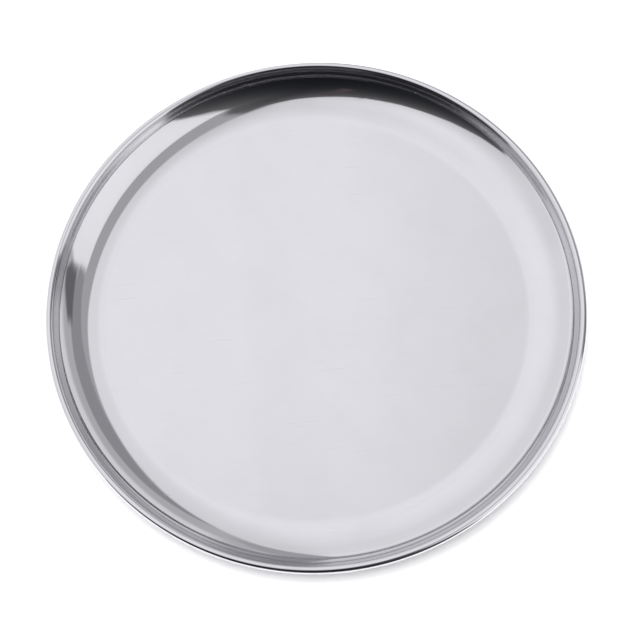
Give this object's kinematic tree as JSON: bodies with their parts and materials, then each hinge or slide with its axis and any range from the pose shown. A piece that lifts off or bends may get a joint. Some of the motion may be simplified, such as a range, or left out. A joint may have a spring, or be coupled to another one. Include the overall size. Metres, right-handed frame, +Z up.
{
  "type": "serving tray",
  "caption": "Round shallow stainless steel serving tray with a flat floor, a coved wall and a rolled rim around a stiffening wire.",
  "frame": {"origin": "centre of the underside of the flat floor, where the tray rests", "axes": "+Z up out of the tray, along its axis of revolution; X and Y lie in the plane it rests on"},
  "size_m": [0.3549, 0.355, 0.0196],
  "materials": {
    "polished_steel": "mirror-polished stainless steel sheet with faint polishing lines and light scuffs",
    "wire_steel": "plain drawn steel wire"
  },
  "bodies": {
    "root": {"tray_pan": "polished_steel", "rim_wire": "wire_steel"}
  },
  "joints": []
}
